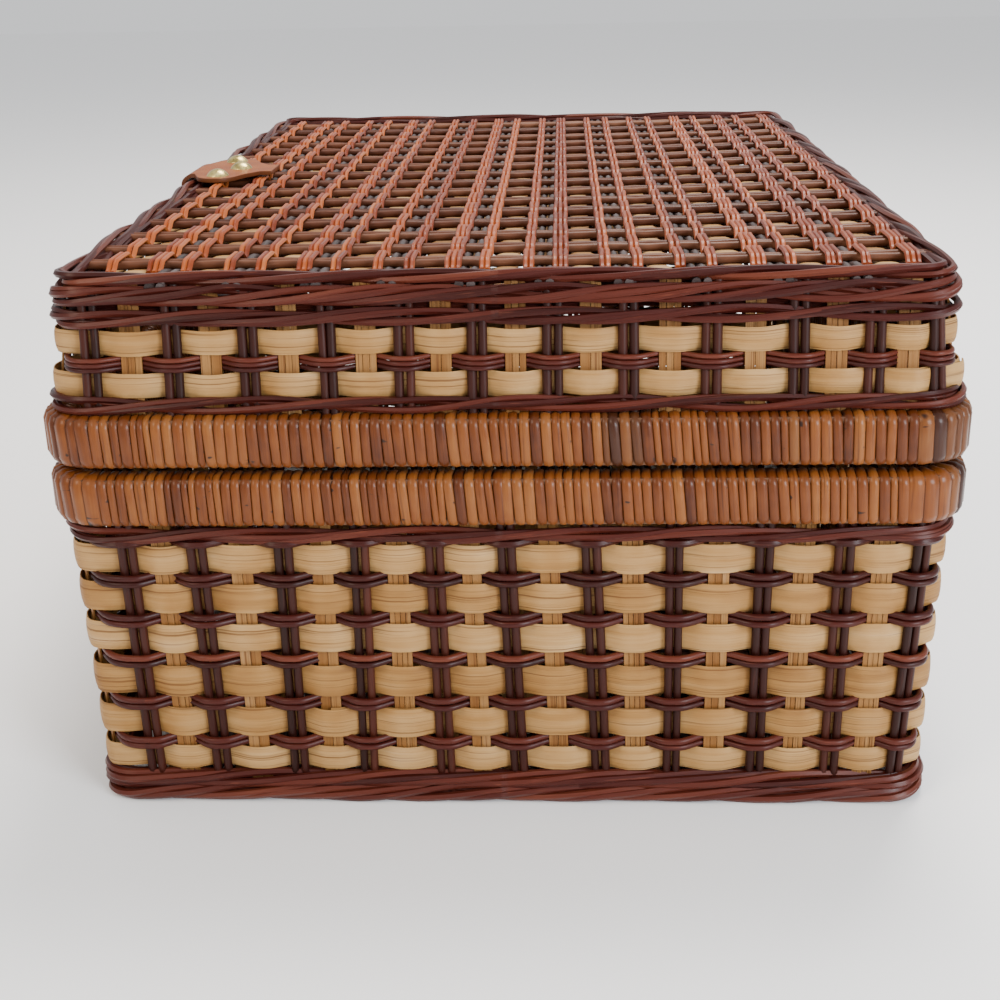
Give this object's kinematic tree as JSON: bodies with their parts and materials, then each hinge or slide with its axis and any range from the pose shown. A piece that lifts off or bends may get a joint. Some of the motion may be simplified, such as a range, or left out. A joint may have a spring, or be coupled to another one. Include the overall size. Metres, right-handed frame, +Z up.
{
  "type": "woven hamper with hinged lid",
  "caption": "Low suitcase-shaped hamper woven from pale chip wood on dark rattan, with cane-wrapped rims, a leather-hinged lid, closing strap and turn knob.",
  "frame": {"origin": "on the floor under the middle of the hamper", "axes": "+Z up, +Y along the long sides away from the end that is seen, +X towards the hinge side"},
  "size_m": [0.4087, 0.5746, 0.2539],
  "materials": {
    "pale_chip": "unvarnished split wood, fine straight grain",
    "dark_stake": "dark stained round rattan, satin",
    "dark_weaver": "mahogany stained thin rattan, satin",
    "brown_rod": "brown stained round rattan, satin",
    "skein": "orange-brown split cane, satin",
    "hoop": "plain bent rod, matte",
    "cane_wrap": "half-round cane, glossy varnish",
    "leather": "smooth tan saddle leather with a dark edge",
    "brass": "polished"
  },
  "bodies": {
    "body": {"foot_border": "dark_weaver", "base_skeins": "skein", "base_cross_rods": "brown_rod", "base_long_rods": "dark_stake", "base_chips": "pale_chip", "base_splints": "pale_chip", "body_stakes": "dark_stake", "body_splints": "pale_chip", "body_chip_1": "pale_chip", "body_chip_2": "pale_chip", "body_chip_3": "pale_chip", "body_chip_4": "pale_chip", "body_chip_5": "pale_chip", "body_chip_6": "pale_chip", "body_weaver_1": "dark_weaver", "body_weaver_2": "dark_weaver", "body_weaver_3": "dark_weaver", "body_weaver_4": "dark_weaver", "body_weaver_5": "dark_weaver", "body_wale": "dark_weaver", "body_hoop_outer": "hoop", "body_hoop_inner": "hoop", "body_rim_wrap": "cane_wrap", "hinge_leather_body": "leather", "hinge_studs_body": "brass", "clasp_patch": "leather", "clasp_plate": "brass", "clasp_rivets": "brass"},
    "lid": {"lid_hoop_outer": "hoop", "lid_hoop_inner": "hoop", "lid_rim_wrap": "cane_wrap", "lid_lower_wale": "dark_weaver", "lid_stakes": "dark_stake", "lid_splints": "pale_chip", "lid_chip_1": "pale_chip", "lid_chip_2": "pale_chip", "lid_weaver": "dark_weaver", "lid_upper_wale": "dark_weaver", "lid_border": "dark_weaver", "top_cross_rods": "brown_rod", "top_long_rods": "dark_stake", "top_chips": "pale_chip", "top_splints": "pale_chip", "top_skeins": "skein", "hinge_leather_lid": "leather", "hinge_studs_lid": "brass", "strap_tab": "leather", "tab_studs": "brass"},
    "strap": {"strap_flap": "leather", "strap_eyelet": "brass"},
    "knob": {"turn_knob": "brass"}
  },
  "joints": [
    {"name": "lid_hinge", "type": "hinge", "parent": "body", "child": "lid", "pos_m": [0.20015, 0, 0.1649], "axis": [0, 1, 0], "range_deg": [0, 105]},
    {"name": "strap_lift", "type": "hinge", "parent": "lid", "child": "strap", "pos_m": [-0.2027, 0, 0.179], "axis": [0, 1, 0], "range_deg": [0, 100]},
    {"name": "knob_turn", "type": "hinge", "parent": "body", "child": "knob", "pos_m": [-0.194, 0, 0.11], "axis": [-1, 0, 0], "range_deg": [0, 90]}
  ]
}
